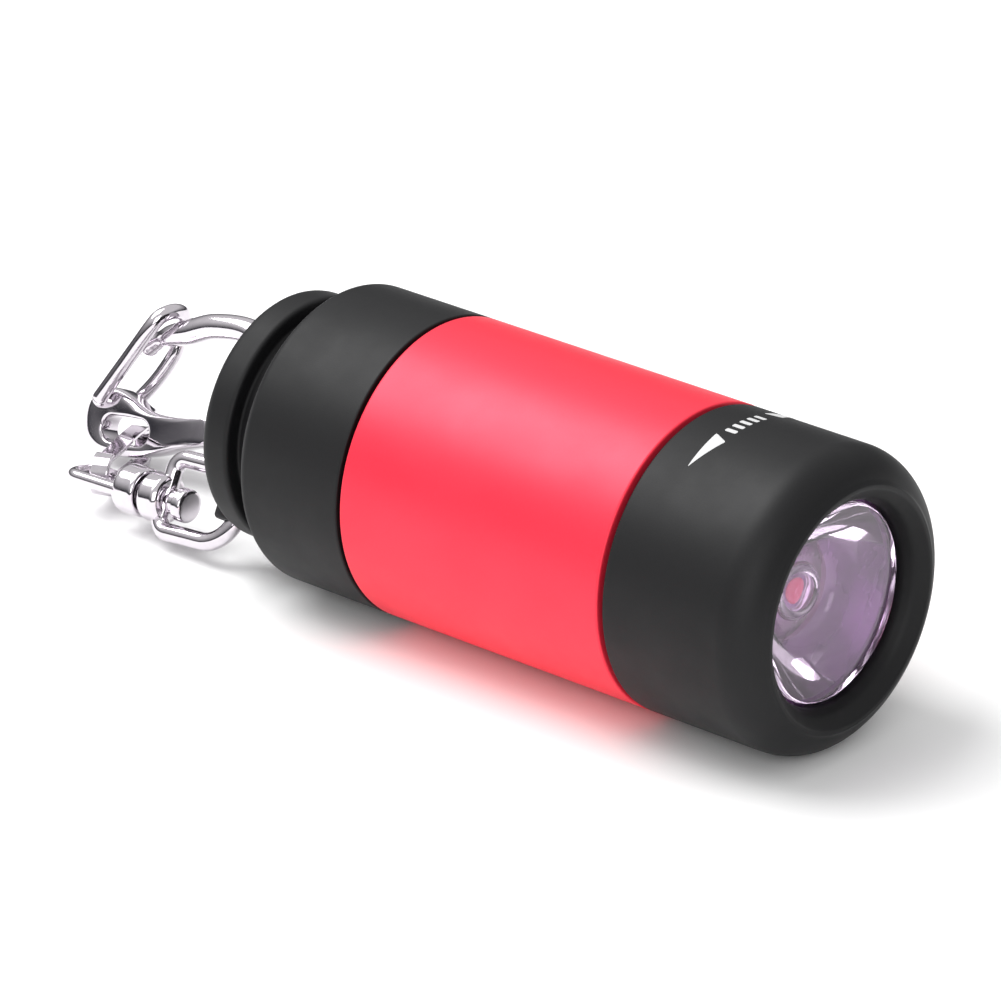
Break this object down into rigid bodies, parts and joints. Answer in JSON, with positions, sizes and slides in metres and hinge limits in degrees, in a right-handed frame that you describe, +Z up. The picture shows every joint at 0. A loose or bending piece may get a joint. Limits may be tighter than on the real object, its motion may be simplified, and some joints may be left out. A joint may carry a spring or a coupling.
{
  "type": "keychain flashlight",
  "caption": "Short cylindrical keychain torch with a twist head, a pull-off cap over a USB plug, and a swivel snap hook on its tail.",
  "frame": {"origin": "on the resting plane, under the middle of the bounding box", "axes": "+X along the torch from its tail to its lens, +Z up from the resting plane"},
  "size_m": [0.0716, 0.021, 0.0209],
  "materials": {
    "red_satin": "satin anodised",
    "soft_black": "matte soft-touch",
    "hard_black": "matte moulded",
    "seal_rubber": "satin",
    "nickel": "polished nickel plate on zinc and steel",
    "steel": "bright",
    "gold": "gold plated",
    "white_plastic": "moulded",
    "phosphor": "lamp phosphor",
    "clear_optic": "clear acrylic",
    "board_green": "solder mask",
    "indicator": "clear"
  },
  "bodies": {
    "torch_body": {"body_sleeve": "red_satin", "inner_barrel": "hard_black", "rear_seal": "seal_rubber", "front_seal": "seal_rubber", "charge_board": "board_green", "charge_chip": "hard_black", "charge_led": "indicator", "usb_shell": "steel", "usb_tongue": "white_plastic", "usb_contact_1": "gold", "usb_contact_2": "gold", "usb_contact_3": "gold", "usb_contact_4": "gold", "button_cell_1": "steel", "button_cell_2": "steel", "button_cell_3": "steel", "cell_spring": "gold", "contact_disc": "white_plastic", "contact_post": "gold"},
    "lamp_module": {"led_board": "white_plastic", "led_package": "phosphor", "optic_holder": "white_plastic", "lens_optic": "clear_optic"},
    "head": {"head_shell": "soft_black", "lens_seal": "seal_rubber"},
    "tail_cap": {"cap_sleeve": "soft_black", "tail_plug": "soft_black"},
    "bail": {"bail": "nickel"},
    "swivel": {"swivel_loop": "nickel", "swivel_stud": "nickel"},
    "link": {"link": "nickel"},
    "clasp": {"hook": "nickel"},
    "gate": {"gate_wire": "nickel"}
  },
  "joints": [
    {"name": "lamp_feed", "type": "slide", "parent": "torch_body", "child": "lamp_module", "axis": [-1, 0, 0], "range_m": [0, 0.00025]},
    {"name": "head_twist", "type": "hinge", "parent": "lamp_module", "child": "head", "pos_m": [0.03078, 0, 0.01047], "axis": [-1, 0, 0], "range_deg": [0, 90]},
    {"name": "cap_pull", "type": "slide", "parent": "torch_body", "child": "tail_cap", "axis": [-1, 0, 0], "range_m": [0, 0.02]},
    {"name": "bail_swing", "type": "hinge", "parent": "tail_cap", "child": "bail", "pos_m": [-0.01438, -0.0039, 0.00406], "axis": [-0.0746, 0.5174, 0.8525], "range_deg": [-20, 75]},
    {"name": "swivel_turn", "type": "hinge", "parent": "bail", "child": "swivel", "pos_m": [-0.02162, -0.00411, 0.00308], "axis": [0.9985, -0.0226, 0.0499], "continuous": true},
    {"name": "link_swing", "type": "hinge", "parent": "swivel", "child": "link", "pos_m": [-0.02837, -0.00273, 0.00248], "axis": [0.9985, -0.0226, 0.0499], "range_deg": [-60, 65]},
    {"name": "hook_tilt", "type": "hinge", "parent": "link", "child": "clasp", "pos_m": [-0.03107, 0.00309, 0.00166], "axis": [1, 0, 0], "range_deg": [0, 18]},
    {"name": "gate_open", "type": "hinge", "parent": "clasp", "child": "gate", "pos_m": [-0.03408, 0.00406, 0.00425], "axis": [0, -0.9361, 0.3518], "range_deg": [0, 35], "stiffness_Nm_per_rad": 0.02, "springref_deg": -14.9}
  ],
  "couplings": [
    {"joint": "head_twist", "follows": "lamp_feed", "rad_per_m": 6283.2}
  ]
}
